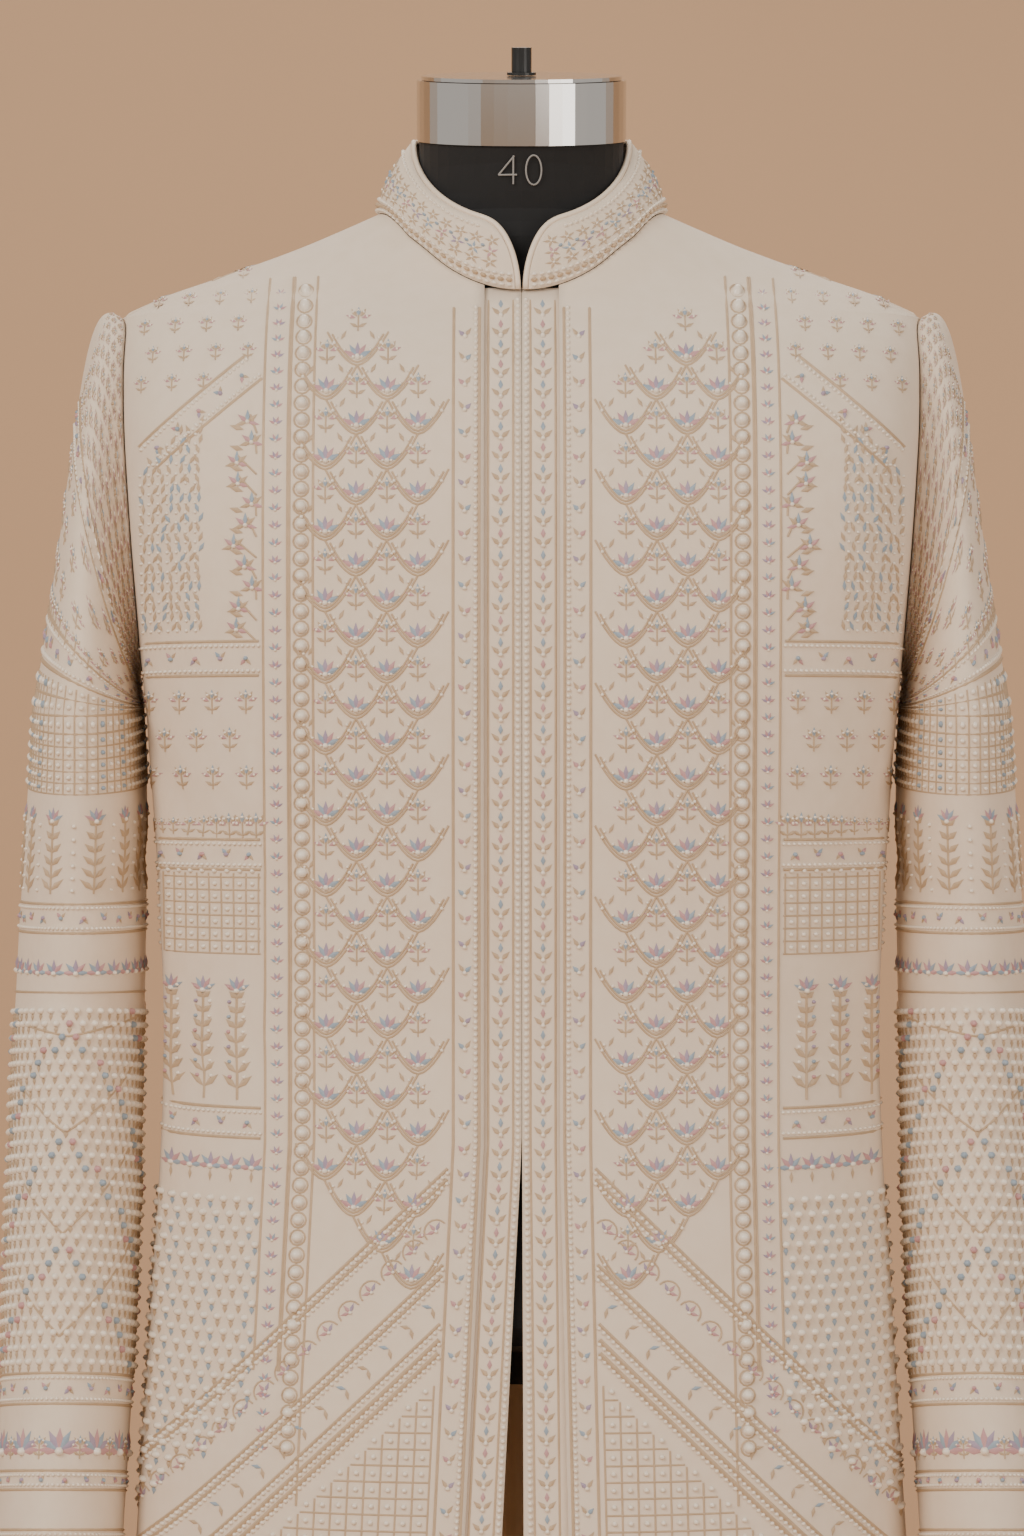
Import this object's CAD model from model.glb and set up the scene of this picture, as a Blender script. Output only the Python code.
"""Finished look of an embroidered sherwani coat on a limbless dress form. Metres, +Z up, front towards -Y."""

import logging
import math
from collections.abc import Callable, Sequence
from dataclasses import dataclass, field
from enum import Enum, IntEnum

import bpy
import numpy as np
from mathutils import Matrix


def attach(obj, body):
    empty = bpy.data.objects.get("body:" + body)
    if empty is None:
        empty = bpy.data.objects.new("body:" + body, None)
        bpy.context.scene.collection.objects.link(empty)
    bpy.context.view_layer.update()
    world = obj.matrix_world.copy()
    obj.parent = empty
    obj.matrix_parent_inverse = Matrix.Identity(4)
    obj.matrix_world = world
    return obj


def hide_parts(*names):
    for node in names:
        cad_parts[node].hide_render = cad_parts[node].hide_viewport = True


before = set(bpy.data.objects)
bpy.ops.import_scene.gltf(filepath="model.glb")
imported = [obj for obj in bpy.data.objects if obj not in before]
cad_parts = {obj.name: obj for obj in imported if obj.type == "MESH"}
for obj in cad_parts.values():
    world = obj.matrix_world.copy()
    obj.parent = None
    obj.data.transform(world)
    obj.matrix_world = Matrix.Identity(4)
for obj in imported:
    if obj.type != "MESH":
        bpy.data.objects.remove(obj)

Array = np.ndarray
Point = tuple[float, float]
Surface = Callable[[Array, Array], Array]
Placer = Callable[[Array, Array], tuple[Array, Array]]

log = logging.getLogger("sherwani")
MM = 0.001
CLOTH = 0.0016
COLLAR_CLOTH = 0.0022
HEM_Z, UNDERARM_Z, SHOULDER_Z, NECK_SIDE_Z = 0.440, 1.243, 1.436, 1.493
OPENING_Z = 0.990
NECK = {"half": 0.079, "front": 0.076, "back": 0.069}
SEAM = 0.0003
FOLD_X = 0.020
ARMHOLE_FRONT, ARMHOLE_BACK, ARMHOLE_FULLNESS = 0.048, 0.054, 0.8
SLEEVE_TOP_Z, CUFF_Z = 1.222, 0.748
SURFACE_STEP = 0.001
LIFT = 0.00005
BISECT_STEPS = 36
SMOOTH_ANGLE = math.radians(38)

# Level sections of the torso, in millimetres: z, half width, front, back, front power, back power.
TORSO = np.array(
    [
        (440, 238, 155, 160, 2.2, 2.15),
        (600, 226, 146, 150, 2.25, 2.2),
        (767, 212, 138, 140, 2.3, 2.25),
        (841, 207, 133, 132, 2.35, 2.3),
        (896, 203.5, 129, 122, 2.35, 2.3),
        (990, 198, 122, 109, 2.35, 2.3),
        (1045, 196.5, 119, 104, 2.35, 2.3),
        (1116, 199, 122, 109, 2.4, 2.3),
        (1196, 204, 128, 118, 2.7, 2.35),
        (1259, 209, 131, 124, 3.1, 2.5),
        (1310, 213, 130, 125, 3.5, 2.6),
        (1360, 216.5, 123, 121, 3.6, 2.6),
        (1400, 218.8, 108, 112, 3.2, 2.45),
        (1420, 219.5, 95, 106, 2.7, 2.3),
        (1436, 219.5, 82, 99, 2.1, 2.15),
        (1446, 202, 75.5, 95, 1.7, 2.05),
        (1460, 163, 70, 89, 1.55, 2.0),
        (1475, 122, 65, 81, 1.55, 2.0),
        (1485, 98, 61, 75, 1.7, 2.0),
        (1493, 79, 57, 69, 2.0, 2.0),
    ]
)
# Sections of the sleeve, in millimetres: z, inner edge, outer edge, middle of its depth, half depth.
SLEEVE = np.array(
    [
        (748, 218.6, 287.5, -34, 53.5),
        (808, 215.4, 285.5, -25, 55.5),
        (867, 212.5, 284, -16, 57.5),
        (924, 211, 283, -7, 60),
        (985, 210, 281.5, 1, 63),
        (1034, 209, 280, 6, 65.5),
        (1075, 208, 278, 8, 68.5),
        (1116, 207.4, 276, 8, 73),
        (1171, 207, 272, 6, 79),
        (1222, 209, 268, 2, 84),
    ]
)
# Soft folds of the skirt: degrees from the centre front, width, depth in mm, starting height in mm.
SKIRT_FOLDS = [
    (-38, 17, -5, 860),
    (-64, 13, 6, 940),
    (-104, 19, -8, 900),
    (-132, 15, 7, 830),
    (-158, 16, -9, 930),
    (167, 14, 8, 960),
    (141, 18, -7, 870),
    (112, 14, 8, 910),
    (71, 15, -6, 930),
    (44, 14, 4, 850),
]


# Soft creases of the sleeve: turn, height, half width round, half width up, slant, depth in metres.
SLEEVE_CREASES = [
    (-0.5, 1.13, 0.9, 0.011, 0.016, -0.0022),
    (-1.1, 1.05, 0.8, 0.013, -0.020, -0.0020),
    (-2.1, 1.00, 0.7, 0.012, 0.018, -0.0018),
    (-0.4, 0.95, 0.7, 0.014, 0.014, 0.0018),
    (-4.2, 1.09, 0.9, 0.014, 0.022, -0.0026),
    (-4.6, 1.02, 0.8, 0.012, -0.015, -0.0020),
]
# Soft creases of the body: angle from the front, height, half width round, half width up, slant, depth in metres.
BODY_CREASES = [
    (1.15, 1.165, 0.22, 0.014, 0.10, -0.0022),
    (-1.08, 1.180, 0.25, 0.012, -0.12, -0.0024),
    (1.0, 1.035, 0.30, 0.016, -0.05, -0.0020),
    (-1.1, 1.020, 0.26, 0.014, 0.06, -0.0022),
    (2.4, 1.03, 0.35, 0.016, 0.05, -0.0026),
    (-2.5, 1.01, 0.38, 0.014, -0.04, -0.0024),
]


class Side(Enum):
    """The coat's sides as seen from the front."""

    LEFT = -1
    RIGHT = 1

    @property
    def word(self) -> str:
        """The side's name as the pieces spell it."""
        return self.name.lower()


class Hue(IntEnum):
    """The embroidery's materials, in the order of its material slots."""

    CORD = 0
    PEARL = 1
    PINK = 2
    BLUE = 3
    MAUVE = 4


def smooth(table: Array, column: int, z: Array) -> Array:
    """Reads a table's column at heights z (metres) through a curve that never overshoots.

    Args:
        table: Rows of a size table, in millimetres.
        column: The table's column to read.
        z: Heights in metres.

    Returns:
        The column's values, in millimetres.
    """
    x, y = table[:, 0], table[:, column]
    h, d = np.diff(x), np.diff(y) / np.diff(x)
    m = np.zeros_like(x)
    m[0], m[-1] = d[0], d[-1]
    wb, wa = 2 * h[1:] + h[:-1], h[1:] + 2 * h[:-1]
    same = d[:-1] * d[1:] > 0
    safe_b, safe_a = np.where(same, d[:-1], 1), np.where(same, d[1:], 1)
    m[1:-1] = np.where(same, (wb + wa) / (wb / safe_b + wa / safe_a), 0)
    q = np.clip(np.asarray(z, float) / MM, x[0], x[-1])
    i = np.clip(np.searchsorted(x, q, side="right") - 1, 0, len(h) - 1)
    t, rise = (q - x[i]) / h[i], y[i + 1] - y[i]
    m0, m1 = m[i] * h[i], m[i + 1] * h[i]
    return y[i] + t * (m0 + t * (3 * rise - 2 * m0 - m1 + t * (m0 + m1 - 2 * rise)))


def torso(angle: Array, z: Array) -> Array:
    """The coat's outer surface at an angle from the centre front and a height.

    Args:
        angle: Angles from the centre front.
        z: Heights in metres.

    Returns:
        Points in metres.
    """
    s, c = np.sin(angle), np.cos(angle)
    ahead = c >= 0
    depth = np.where(ahead, smooth(TORSO, 2, z), smooth(TORSO, 3, z))
    power = np.where(ahead, smooth(TORSO, 4, z), smooth(TORSO, 5, z))
    push = np.zeros_like(s * z)
    for at, width, deep, start in SKIRT_FOLDS:
        drop = np.clip((start * MM - z) / (start * MM - HEM_Z), 0, 1)
        away = ((np.degrees(angle) - at + 540) % 360 - 180) / width
        push = push + deep * drop * drop * (3 - 2 * drop) * np.exp(-away * away)
    for at, high, wide, tall, slant, deep in BODY_CREASES:
        away = (angle - at + np.pi) % math.tau - np.pi
        push = push + deep / MM * np.exp(-((away / wide) ** 2) - ((z - high - slant * away) / tall) ** 2)
    reach = (np.abs(s) ** power + np.abs(c) ** power) ** (-1 / power)
    x = (smooth(TORSO, 1, z) + push) * s * reach * MM
    y = -(depth + push) * c * reach * MM
    return np.stack([x, y, z + 0 * x], -1)


def normals_of(surface: Surface, u: Array, v: Array, du: float, dv: float) -> Array:
    """Outward normals of a surface(u, v) by differences.

    Args:
        surface: Gives points for two parameters.
        u: First parameter or flat place.
        v: Second parameter or flat place.
        du: Step in the first parameter.
        dv: Step in the second parameter.

    Returns:
        Unit normals.
    """
    around = surface(u + du, v) - surface(u - du, v)
    up = surface(u, v + dv) - surface(u, v - dv)
    n = np.cross(around, up)
    return n / np.maximum(np.linalg.norm(n, axis=-1, keepdims=True), 1e-12)


def bisect(rising: Callable[[Array], Array], low: Array, high: Array) -> Array:
    """Solves rising(value) = 0 for every element."""
    for _ in range(BISECT_STEPS):
        middle = (low + high) / 2
        above = rising(middle) > 0
        high, low = np.where(above, middle, high), np.where(above, low, middle)
    return (low + high) / 2


def angle_at_x(x: Array, z: Array) -> Array:
    """The front angle at which the torso's section has this x."""
    ax = np.minimum(np.abs(x), 0.999 * np.abs(torso(np.full_like(z, np.pi / 2), z)[..., 0]))
    return np.sign(x) * bisect(lambda a: torso(a, z)[..., 0] - ax, np.zeros_like(z), np.full_like(z, np.pi / 2))


def armhole(turn: Array, way: int) -> tuple[Array, Array]:
    """Angle and height of the armhole's edge, from the underarm (0) to the shoulder (pi).

    Args:
        turn: Turns round the armhole or the sleeve.
        way: -1 in front, 1 behind.

    Returns:
        Angles and heights.
    """
    z = (UNDERARM_Z + SHOULDER_Z) / 2 - (SHOULDER_Z - UNDERARM_Z) / 2 * np.cos(turn)
    reach = ARMHOLE_FRONT if way < 0 else ARMHOLE_BACK
    y = way * reach * np.maximum(np.sin(turn), 0) ** ARMHOLE_FULLNESS
    a = bisect(lambda b: torso(b, z)[..., 1] - y, np.full_like(z, 0.02), np.full_like(z, np.pi - 0.02))
    return np.where(np.sin(turn) < 1e-6, np.pi / 2, a), z


def neckline(plan: Array) -> tuple[Array, Array]:
    """Angle and height of the front neckline under a plan angle of the neck oval.

    Args:
        plan: Angles seen from above.

    Returns:
        Angles and heights.
    """
    x, y = NECK["half"] * np.sin(plan), -NECK["front"] * np.cos(plan)

    def outside(z: Array) -> Array:
        """Below 0 where the oval is inside the section at z."""
        half, front, power = (smooth(TORSO, k, z) for k in (1, 2, 4))
        return np.abs(x / half / MM) ** power + np.abs(y / front / MM) ** power - 1

    z = bisect(outside, np.full_like(x, SHOULDER_Z), np.full_like(x, NECK_SIDE_Z))
    return np.arctan2(x / smooth(TORSO, 1, z), -y / smooth(TORSO, 2, z)), z


def parting(z: Array) -> Array:
    """How far the fronts have parted, 0 above the opening and 1 at the hem."""
    return np.maximum(OPENING_Z - z, 0) / (OPENING_Z - HEM_Z)


# ---- materials -----------------------------------------------------------------------------


@dataclass(frozen=True)
class Finish:
    """A procedural finish: base colour, a second colour, roughness and a fine bump."""

    name: str
    colour: tuple[float, float, float]
    second: tuple[float, float, float]
    roughness: float = 0.7
    metallic: float = 0.0
    scale: float = 900.0
    bump: float = 0.3
    weave: bool = False
    sheen: float = 0.0

    def material(self) -> bpy.types.Material:
        """Returns the material, made once."""
        return bpy.data.materials.get(self.name) or self.build()

    def build(self) -> bpy.types.Material:
        """Makes the material's nodes and returns it."""
        mat = bpy.data.materials.new(self.name)
        mat.use_nodes = True
        nodes, links = mat.node_tree.nodes, mat.node_tree.links
        shader = nodes["Principled BSDF"]
        shader.inputs["Roughness"].default_value = self.roughness
        shader.inputs["Metallic"].default_value = self.metallic
        shader.inputs["Sheen Weight"].default_value = self.sheen
        where = nodes.new("ShaderNodeTexCoord")
        noise = nodes.new("ShaderNodeTexNoise")
        noise.inputs["Scale"].default_value = self.scale / 12
        noise.inputs["Detail"].default_value = 4
        links.new(where.outputs["Object"], noise.inputs["Vector"])
        mix = nodes.new("ShaderNodeMix")
        mix.data_type = "RGBA"
        mix.inputs["A"].default_value = (*self.colour, 1)
        mix.inputs["B"].default_value = (*self.second, 1)
        links.new(noise.outputs["Fac"], mix.inputs["Factor"])
        links.new(mix.outputs["Result"], shader.inputs["Base Color"])
        fine = nodes.new("ShaderNodeTexWave" if self.weave else "ShaderNodeTexNoise")
        fine.inputs["Scale"].default_value = self.scale
        links.new(where.outputs["Object"], fine.inputs["Vector"])
        bump = nodes.new("ShaderNodeBump")
        bump.inputs["Strength"].default_value = self.bump
        bump.inputs["Distance"].default_value = 0.0003
        links.new(fine.outputs["Fac"], bump.inputs["Height"])
        links.new(bump.outputs["Normal"], shader.inputs["Normal"])
        return mat


IVORY = Finish("ivory_cloth", (0.80, 0.655, 0.50), (0.87, 0.74, 0.60), 0.75, 0, 1100, 0.35, True, 0.15)
SATIN = Finish("ivory_satin", (0.80, 0.66, 0.51), (0.86, 0.73, 0.58), 0.4, 0, 700, 0.1, True)
THREAD = Finish("beige_thread", (0.56, 0.39, 0.235), (0.72, 0.53, 0.345), 0.5, 0.05, 1500, 0.5, True)
PEARL = Finish("pearl", (0.82, 0.71, 0.57), (0.90, 0.82, 0.71), 0.22, 0, 500, 0.05)
PINK = Finish("pink_thread", (0.55, 0.27, 0.28), (0.68, 0.40, 0.39), 0.45, 0, 1500, 0.4, True)
BLUE = Finish("blue_thread", (0.27, 0.36, 0.44), (0.40, 0.48, 0.55), 0.4, 0, 1500, 0.4, True)
MAUVE = Finish("mauve_thread", (0.36, 0.27, 0.38), (0.48, 0.38, 0.47), 0.45, 0, 1500, 0.4, True)
BLACK_CLOTH = Finish("black_jersey", (0.004, 0.004, 0.0045), (0.007, 0.007, 0.008), 0.85, 0, 1200, 0.2, True, 0.05)
CHROME = Finish("chrome", (0.62, 0.59, 0.56), (0.74, 0.71, 0.68), 0.14, 1.0, 60, 0.02)
BLACK_METAL = Finish("black_enamel", (0.012, 0.012, 0.012), (0.02, 0.02, 0.02), 0.32, 0.2, 200, 0.05)
THREADS = [THREAD, PEARL, PINK, BLUE, MAUVE]
BLOOM = (Hue.PINK, Hue.BLUE, Hue.MAUVE)
WHITE_INK = Finish("size_number_ink", (0.22, 0.21, 0.20), (0.30, 0.29, 0.28), 0.7, 0, 300, 0.1)


# ---- meshes ----------------------------------------------------------------------------------


def mesh_object(
    name: str, points: Array, faces: list, finishes: Sequence[Finish], slots: Array | None = None
) -> bpy.types.Object:
    """A mesh object from points and faces, smooth shaded, with its materials.

    Args:
        name: The piece's name.
        points: Corners in metres.
        faces: Corner numbers of each face.
        finishes: Materials in slot order.
        slots: Each face's material.

    Returns:
        The object.
    """
    mesh = bpy.data.meshes.new(name)
    mesh.from_pydata(points.tolist(), [], faces)
    for finish in finishes:
        mesh.materials.append(finish.material())
    if slots is not None:
        mesh.polygons.foreach_set("material_index", np.asarray(slots, np.int32))
    mesh.polygons.foreach_set("use_smooth", np.ones(len(faces), bool))
    mesh.update()
    obj = bpy.data.objects.new(name, mesh)
    bpy.context.collection.objects.link(obj)
    return obj


def shell(
    name: str, outer: Array, normal: Array, thick: float, wrapped: bool = False, finish: Finish = IVORY
) -> bpy.types.Object:
    """A thin closed wall from a grid of outer points and their normals.

    Args:
        name: The piece's name.
        outer: Grid of outer points.
        normal: Grid of outward normals.
        thick: The wall.
        wrapped: Whether the grid closes on itself.
        finish: The cloth's finish.

    Returns:
        The object.
    """
    rows, columns = outer.shape[:2]
    points = np.concatenate([outer.reshape(-1, 3), (outer - normal * thick).reshape(-1, 3)])
    half, faces = rows * columns, []
    spans = columns if wrapped else columns - 1
    for r in range(rows - 1):
        for c in range(spans):
            a, b = r * columns + c, r * columns + (c + 1) % columns
            faces.append((a, b, b + columns, a + columns))
            faces.append((half + a, half + a + columns, half + b + columns, half + b))
    for c in range(spans):
        d = (c + 1) % columns
        top = (rows - 1) * columns
        faces += [(d, c, half + c, half + d), (top + c, top + d, half + top + d, half + top + c)]
    if not wrapped:
        for r in range(rows - 1):
            a, b = r * columns, (r + 1) * columns
            e, f = a + columns - 1, b + columns - 1
            faces += [(a, b, half + b, half + a), (f, e, half + e, half + f)]
    obj = mesh_object(name, points, faces, [finish])
    obj.data.validate()
    return obj


@dataclass
class Stitches:
    """Raised embroidery drawn in flat (u, v) metres, then laid on a surface as one joined mesh."""

    beads: list = field(default_factory=list)
    petals: list = field(default_factory=list)
    ropes: list = field(default_factory=list)

    def bead(self, u: float, v: float, r: float, colour: int = Hue.PEARL) -> None:
        """A round bead of radius r."""
        self.beads.append((u, v, r, colour))

    def petal(
        self, u: float, v: float, turn: float, length: float, width: float, colour: int = Hue.CORD
    ) -> None:
        """A leaf or petal that starts at (u, v) and points along turn."""
        self.petals.append((u, v, turn, length, width, colour))

    def rope(self, path: Array, width: float = 0.0011, colour: int = Hue.CORD) -> None:
        """A raised cord along a path."""
        self.ropes.append((np.asarray(path, float), width, colour))

    def line(self, a: Point, b: Point, width: float = 0.0011, step: float = 0.006, colour: int = Hue.CORD) -> None:
        """A straight cord.

        Args:
            a: Start.
            b: End.
            width: Width in metres.
            step: Longest step.
            colour: The material's slot.
        """
        a, b = np.asarray(a, float), np.asarray(b, float)
        count = max(int(np.linalg.norm(b - a) / step), 1)
        self.rope(a + np.linspace(0, 1, count + 1)[:, None] * (b - a), width, colour)

    def bead_row(self, a: Point, b: Point, r: float, pitch: float) -> None:
        """Pearls in a straight row.

        Args:
            a: Start.
            b: End.
            r: Radius in metres.
            pitch: Distance between pearls.
        """
        a, b = np.asarray(a, float), np.asarray(b, float)
        count = max(int(np.linalg.norm(b - a) / pitch), 1)
        for i in range(count + 1):
            p = a + (b - a) * i / count
            self.bead(p[0], p[1], r)

    def flower(
        self,
        u: float,
        v: float,
        size: float,
        turn: float = math.pi / 2,
        petals: int = 5,
        spread: float = 2.2,
        colours: Sequence[int] = BLOOM,
    ) -> None:
        """A fan of coloured petals over a bead."""
        for i in range(petals):
            a = turn + spread * (i / (petals - 1) - 0.5)
            self.petal(u, v, a, size, size * 0.36, colours[i % len(colours)])
        self.bead(u, v, size * 0.2)

    def sprig(self, u: float, v: float, size: float, colours: Sequence[int] = BLOOM[:2]) -> None:
        """A small five-flowered sprig on a stalk with two leaves.

        Args:
            u: First parameter or flat place.
            v: Second parameter or flat place.
            size: Length in metres.
            colours: Petal colours in turn.
        """
        self.line((u, v - size * 0.5), (u, v + size * 0.2), 0.0009, 0.004)
        for i, a in enumerate((0.35, 1.0, 1.57, 2.14, 2.8)):
            du, dv = math.cos(a) * size * 0.42, math.sin(a) * size * 0.42
            hue = Hue.CORD if i % 2 else colours[i // 2 % len(colours)]
            self.petal(u + du * 0.3, v + dv * 0.3, a, size * 0.42, size * 0.17, hue)
            self.bead(u + du * 0.85, v + dv * 0.85, size * 0.07)
        self.petal(u, v - size * 0.35, 0.5, size * 0.4, size * 0.15)
        self.petal(u, v - size * 0.35, math.pi - 0.5, size * 0.4, size * 0.15)

    def border(self, a: Point, b: Point, width: float, colours: Sequence[int] = BLOOM) -> None:
        """A band from a to b: cord, beads, a flower vine and cord again.

        Args:
            a: Start.
            b: End.
            width: Width in metres.
            colours: Petal colours in turn.
        """
        a, b = np.asarray(a, float), np.asarray(b, float)
        along = (b - a) / np.linalg.norm(b - a)
        out = np.array([-along[1], along[0]])
        for k in (-1, 1):
            rim, row = out * k * width / 2, out * k * (width / 2 - 0.0024)
            self.line(a + rim, b + rim, 0.0016)
            self.bead_row(a + row, b + row, 0.0010, 0.0028)
        turn, count = math.atan2(along[1], along[0]), max(int(np.linalg.norm(b - a) / 0.0125), 1)
        for i in range(count):
            p = a + (b - a) * (i + 0.5) / count
            lean = 0.9 if i % 2 else -0.9
            self.petal(p[0], p[1], turn + lean, width * 0.26, 0.0022, colours[i % len(colours)])
            self.petal(p[0], p[1], turn - lean + math.pi, width * 0.26, 0.0018)
            self.bead(p[0], p[1], 0.0013, colours[(i + 1) % len(colours)])

    def grow(self, name: str, place: Placer, finishes: Sequence[Finish]) -> bpy.types.Object:
        """Lays everything on place(u, v) -> (point, normal) and returns the joined mesh.

        Args:
            name: The piece's name.
            place: Lays flat places on the cloth.
            finishes: Materials in slot order.

        Returns:
            The joined mesh.
        """
        points, faces, slots, base = [], [], [], 0

        def add(uv: Array, height: Array, pattern: list, colour: Array) -> None:
            """Lays copies of one shape: uv is (copies, corners, 2)."""
            nonlocal base
            p, n = place(uv[..., 0].ravel(), uv[..., 1].ravel())
            points.append(p + n * (np.asarray(height).ravel()[:, None] + LIFT))
            count, each = uv.shape[0], uv.shape[1]
            shift = base + np.arange(count)[:, None, None] * each
            faces.extend(map(tuple, (np.asarray(pattern)[None] + shift).reshape(-1, len(pattern[0])).tolist()))
            slots.append(np.repeat(np.asarray(colour), len(pattern)))
            base += count * each

        if self.beads:
            b = np.array(self.beads)
            t = np.arange(6) * math.tau / 6
            rim = np.stack([np.cos(t), np.sin(t)], -1)
            ring = np.concatenate([rim, rim * 0.78, [[0, 0]]])
            tall = np.array([0.0] * 6 + [0.85] * 6 + [1.3])
            uv = b[:, None, :2] + ring[None] * b[:, None, 2:3]
            pattern = [(k, (k + 1) % 6, 6 + (k + 1) % 6) for k in range(6)]
            pattern += [(k, 6 + (k + 1) % 6, 6 + k) for k in range(6)]
            pattern += [(6 + k, 6 + (k + 1) % 6, 12) for k in range(6)]
            add(uv, b[:, 2:3] * tall, pattern, b[:, 3].astype(int))
        if self.petals:
            q = np.array(self.petals)
            outline = np.array([(0, 0), (0.45, -0.5), (1, 0), (0.45, 0.5), (0.5, 0)])
            c, s = np.cos(q[:, 2:3]), np.sin(q[:, 2:3])
            lx, ly = outline[None, :, 0] * q[:, 3:4], outline[None, :, 1] * q[:, 4:5]
            uv = np.stack([q[:, 0:1] + lx * c - ly * s, q[:, 1:2] + lx * s + ly * c], -1)
            tall = np.array([0.3, 0.1, 0.1, 0.1, 1.0]) * np.minimum(q[:, 4:5] * 0.5, 0.0012)
            add(uv, tall, [(0, 1, 4), (1, 2, 4), (2, 3, 4), (3, 0, 4)], q[:, 5].astype(int))
        for path, width, colour in self.ropes:
            step = np.gradient(path, axis=0)
            side = np.stack([-step[:, 1], step[:, 0]], -1)
            side /= np.maximum(np.linalg.norm(side, axis=1, keepdims=True), 1e-9)
            uv = np.stack([path - side * width / 2, path, path + side * width / 2], 1).reshape(1, -1, 2)
            n = len(path)
            corners = [3 * i + k for i in range(n - 1) for k in (0, 1)]
            pattern = [(c + 1, c + 4, c + 3, c) for c in corners]
            add(uv, np.tile([0, width * 0.6, 0], n)[None], pattern, [colour])
        obj = mesh_object(name, np.concatenate(points), faces, finishes, np.concatenate(slots))
        log.info("%s: %d faces", name, len(faces))
        return obj


def settle(obj: bpy.types.Object, slot: str, *nodes: str) -> bpy.types.Object:
    """Fixes a finished piece to the frame in place of its CAD nodes.

    Args:
        obj: The finished piece.
        slot: Its finish slot.
        nodes: CAD nodes that it stands for.

    Returns:
        The same piece.
    """
    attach(obj, "root")
    if nodes:
        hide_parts(*nodes)
    return obj


# ---- the coat's panels --------------------------------------------------------------------------


@dataclass
class TorsoPanel:
    """A wall cut from the torso between a first and a last edge, row by row."""

    name: str
    rows: list
    columns: int
    mirror: int = 1
    below: float = 0.0

    def build(self) -> bpy.types.Object:
        """Makes the wall and gives it the CAD node's place."""
        first = np.array([r[0] for r in self.rows])
        last = np.array([r[1] for r in self.rows])
        share = np.linspace(0, 1, self.columns + 1)
        angle = (first[:, None, 0] + (last - first)[:, None, 0] * share) * self.mirror
        z = first[:, None, 1] + (last - first)[:, None, 1] * share
        normal = torso_normals(angle, z)
        obj = shell(f"{self.name}_cloth", torso(angle, z) - normal * self.below, normal, CLOTH)
        return settle(obj, "cloth", self.name)


def torso_normals(angle: Array, z: Array) -> Array:
    """Outward normals of the torso."""
    return normals_of(torso, angle, np.clip(z, HEM_Z + 0.001, NECK_SIDE_Z - 0.001), 0.01, SURFACE_STEP)


def row_heights() -> list:
    """Heights of the rows below the armhole."""
    return list(np.linspace(HEM_Z, UNDERARM_Z, 60)[:-1])


def side_angle(z: float, way: int) -> float:
    """The side seam's angle on one side of its gap."""
    ahead, behind = (torso(np.array(np.pi / 2 + k * 0.01), np.array(z)) for k in (1, -1))
    return np.pi / 2 + way * SEAM / 2 / (np.linalg.norm(ahead - behind) / 0.02)


def floats(pair: tuple[Array, Array]) -> tuple[float, float]:
    """A pair of single values as plain numbers."""
    return float(pair[0]), float(pair[1])


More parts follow.
